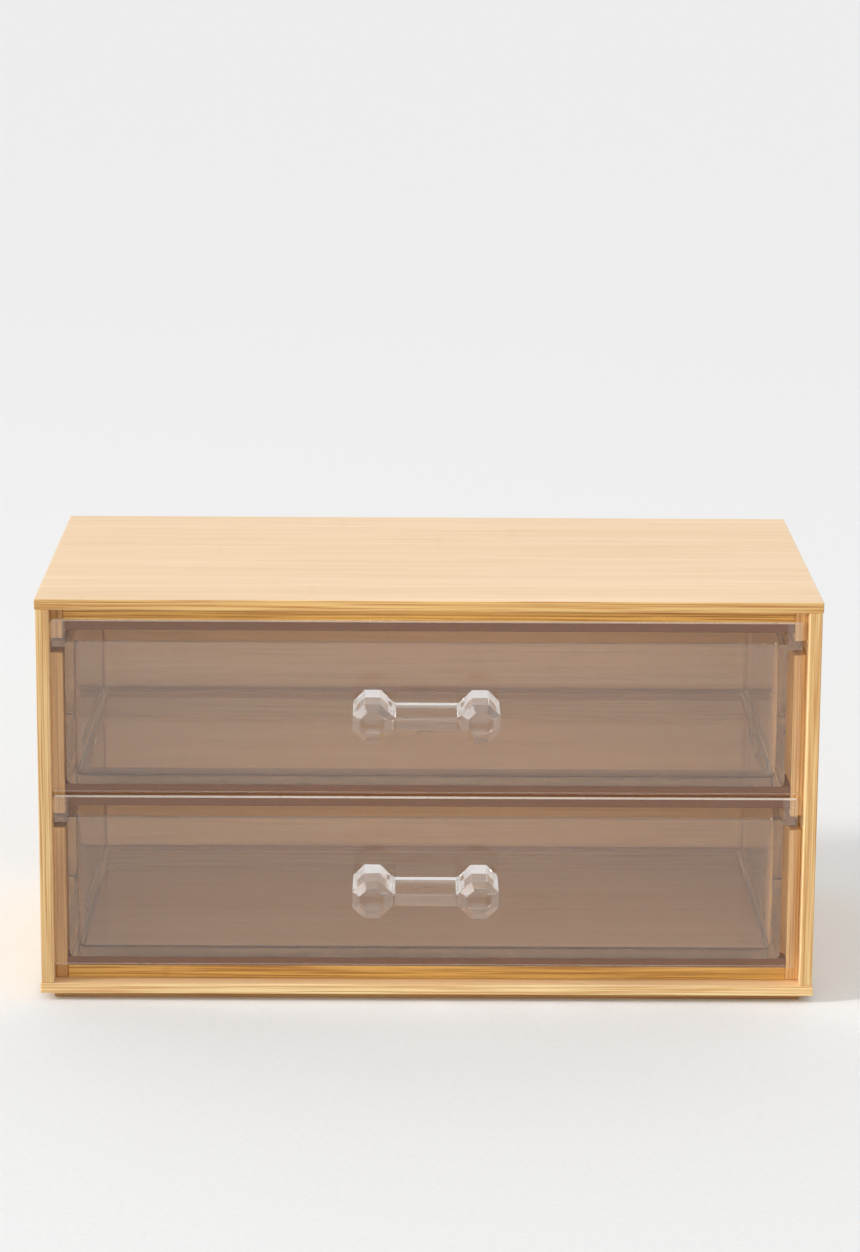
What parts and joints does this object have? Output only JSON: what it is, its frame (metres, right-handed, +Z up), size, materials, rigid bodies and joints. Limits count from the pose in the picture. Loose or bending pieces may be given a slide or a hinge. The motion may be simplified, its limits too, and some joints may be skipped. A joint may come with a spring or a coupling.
{
  "type": "makeup organizer with drawers",
  "caption": "Flat-topped bamboo vanity box holding clear pull-out drawers, each with a faceted clear dumbbell handle on its front.",
  "frame": {"origin": "on the table under the middle of the whole object at rest, handles included", "axes": "+X to the right as seen from the front, +Y from the front to the back, +Z up; the drawers open towards -Y"},
  "size_m": [0.305, 0.1872, 0.1623],
  "materials": {
    "bamboo_top": "sanded bamboo board under thin satin lacquer",
    "bamboo": "sanded bamboo strip under thin satin lacquer",
    "clear_tray": "clear moulded polystyrene, polished",
    "clear_plate": "clear moulded polystyrene, polished",
    "clear_handle": "clear moulded polystyrene, polished facets"
  },
  "bodies": {
    "case": {"top_panel": "bamboo_top", "bottom_panel": "bamboo", "left_side_panel": "bamboo", "right_side_panel": "bamboo", "back_panel": "bamboo", "front_foot_strip": "bamboo", "rear_foot_strip": "bamboo", "left_lower_runner_strip": "bamboo", "left_middle_runner_strip": "bamboo", "left_upper_runner_strip": "bamboo", "right_lower_runner_strip": "bamboo", "right_middle_runner_strip": "bamboo", "right_upper_runner_strip": "bamboo", "bottom_front_rail": "bamboo", "bottom_rear_rail": "bamboo", "middle_front_rail": "bamboo", "middle_rear_rail": "bamboo", "top_front_rail": "bamboo"},
    "lower_drawer": {"lower_tray": "clear_tray", "lower_front_plate": "clear_plate", "lower_handle": "clear_handle"},
    "upper_drawer": {"upper_tray": "clear_tray", "upper_front_plate": "clear_plate", "upper_handle": "clear_handle"}
  },
  "joints": [
    {"name": "lower_drawer_slide", "type": "slide", "parent": "case", "child": "lower_drawer", "axis": [0, -1, 0], "range_m": [0, 0.12]},
    {"name": "upper_drawer_slide", "type": "slide", "parent": "case", "child": "upper_drawer", "axis": [0, -1, 0], "range_m": [0, 0.12]}
  ]
}
